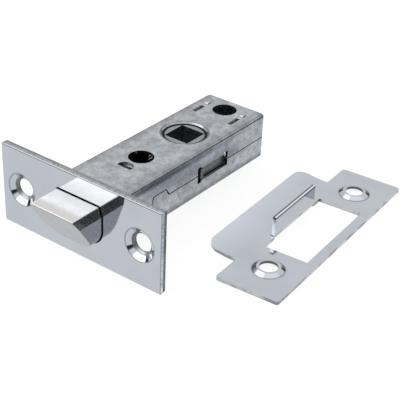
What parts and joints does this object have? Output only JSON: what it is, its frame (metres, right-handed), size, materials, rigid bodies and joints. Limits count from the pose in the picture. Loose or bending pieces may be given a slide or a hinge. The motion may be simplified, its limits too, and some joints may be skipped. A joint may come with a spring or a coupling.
{
  "type": "door latch",
  "caption": "Tubular mortice door latch with a square forend, bevelled spring bolt, square spindle follower and a lipped strike plate.",
  "frame": {"origin": "centre of the forend's back face, its seat on the door's edge, on the axis of the latch bolt", "axes": "+X along the forend's long side, +Y from the forend into the door along the case, +Z along the spindle, away from the bolt's bevelled side"},
  "size_m": [0.08, 0.0958, 0.024],
  "materials": {
    "chrome_plate": "bright chrome plate on steel",
    "bolt_plate": "bright chrome plate on a zinc casting",
    "zinc_case": "mottled bright zinc plate on pressed steel",
    "zinc_steel": "zinc plated strip",
    "zinc_casting": "plain zinc casting",
    "spring_steel": "drawn spring wire"
  },
  "bodies": {
    "case": {"forend_plate": "chrome_plate", "forend_backplate": "zinc_steel", "case_upper": "zinc_case", "case_lower": "zinc_case", "spring_stop": "zinc_steel", "return_spring_seat_left": "zinc_steel", "return_spring_seat_right": "zinc_steel", "return_spring_left": "spring_steel", "return_spring_right": "spring_steel", "latch_spring": "spring_steel", "strike_plate": "chrome_plate"},
    "follower": {"follower": "zinc_casting"},
    "retractor": {"retractor": "zinc_steel"},
    "latch_bolt": {"latch_head": "bolt_plate", "latch_tail_left": "zinc_steel", "latch_tail_right": "zinc_steel"}
  },
  "joints": [
    {"name": "follower_turn", "type": "hinge", "parent": "case", "child": "follower", "pos_m": [0, 0.042, 0], "axis": [0, 0, 1], "range_deg": [0, 67.52], "stiffness_Nm_per_rad": 0.004, "springref_deg": -17.19},
    {"name": "retractor_slide", "type": "slide", "parent": "case", "child": "retractor", "axis": [0, 1, 0], "range_m": [0, 0.009], "deforming": ["return_spring_left", "return_spring_right"]},
    {"name": "bolt_slide", "type": "slide", "parent": "retractor", "child": "latch_bolt", "axis": [0, 1, 0], "range_m": [0, 0.009], "stiffness_N_per_m": 30, "springref_m": -0.012, "deforming": ["latch_spring"]}
  ],
  "couplings": [
    {"joint": "follower_turn", "follows": "retractor_slide", "rad_per_m": 130.94}
  ]
}
